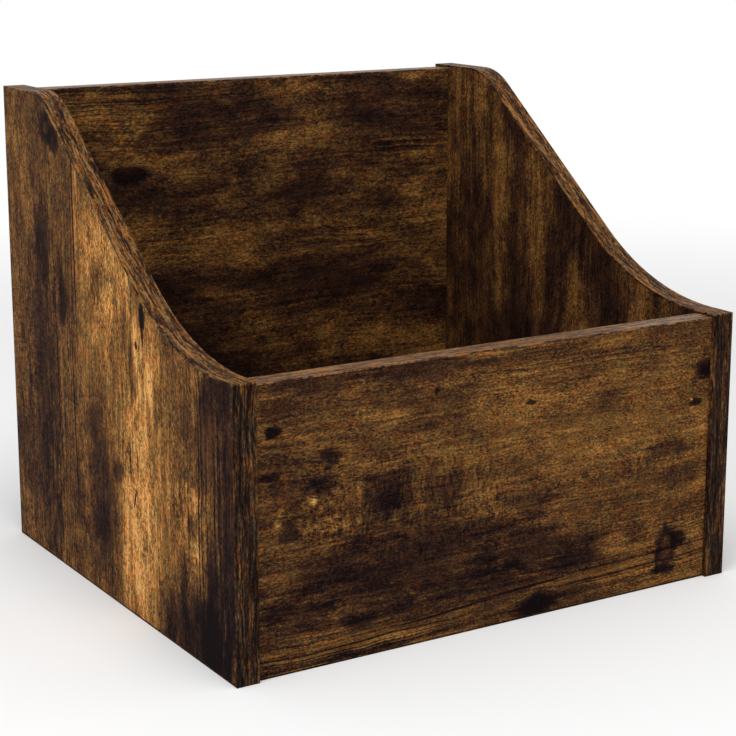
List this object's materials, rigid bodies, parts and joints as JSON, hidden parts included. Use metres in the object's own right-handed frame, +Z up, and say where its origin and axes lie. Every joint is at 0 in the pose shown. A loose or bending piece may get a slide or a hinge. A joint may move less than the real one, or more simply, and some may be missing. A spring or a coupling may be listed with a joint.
{
  "type": "record storage stand",
  "caption": "Open-topped storage stand for record sleeves, in banded wood-grain board: sides with a swept top edge, low front, tall back and bottom panels, joined by hidden cam locks.",
  "frame": {"origin": "on the floor, under the middle of the stand", "axes": "+X across the stand to its right as seen from the front, +Y from the low front to the tall back, +Z up"},
  "size_m": [0.37, 0.33, 0.32],
  "materials": {
    "board": "satin rustic brown wood-grain melamine",
    "edge_band": "satin streaked wood-grain edge band",
    "cam_zinc": "die-cast zinc",
    "bolt_steel": "zinc plated",
    "dowel_beech": "bare beech"
  },
  "bodies": {
    "root": {"left_side_panel": "board", "left_contour_band": "edge_band", "left_front_band": "edge_band", "left_back_band": "edge_band", "left_bottom_band": "edge_band", "right_side_panel": "board", "right_contour_band": "edge_band", "right_front_band": "edge_band", "right_back_band": "edge_band", "right_bottom_band": "edge_band", "front_panel": "board", "front_bottom_band": "edge_band", "front_top_band": "edge_band", "front_cam_left_1": "cam_zinc", "front_bolt_left_1": "bolt_steel", "front_cam_left_2": "cam_zinc", "front_bolt_left_2": "bolt_steel", "front_dowel_left_1": "dowel_beech", "front_cam_right_1": "cam_zinc", "front_bolt_right_1": "bolt_steel", "front_cam_right_2": "cam_zinc", "front_bolt_right_2": "bolt_steel", "front_dowel_right_1": "dowel_beech", "back_panel": "board", "back_bottom_band": "edge_band", "back_top_band": "edge_band", "back_cam_left_1": "cam_zinc", "back_bolt_left_1": "bolt_steel", "back_cam_left_2": "cam_zinc", "back_bolt_left_2": "bolt_steel", "back_dowel_left_1": "dowel_beech", "back_dowel_left_2": "dowel_beech", "back_cam_right_1": "cam_zinc", "back_bolt_right_1": "bolt_steel", "back_cam_right_2": "cam_zinc", "back_bolt_right_2": "bolt_steel", "back_dowel_right_1": "dowel_beech", "back_dowel_right_2": "dowel_beech", "bottom_panel": "board", "bottom_cam_left_1": "cam_zinc", "bottom_bolt_left_1": "bolt_steel", "bottom_cam_left_2": "cam_zinc", "bottom_bolt_left_2": "bolt_steel", "bottom_dowel_left_1": "dowel_beech", "bottom_dowel_left_2": "dowel_beech", "bottom_cam_right_1": "cam_zinc", "bottom_bolt_right_1": "bolt_steel", "bottom_cam_right_2": "cam_zinc", "bottom_bolt_right_2": "bolt_steel", "bottom_dowel_right_1": "dowel_beech", "bottom_dowel_right_2": "dowel_beech"}
  },
  "joints": []
}
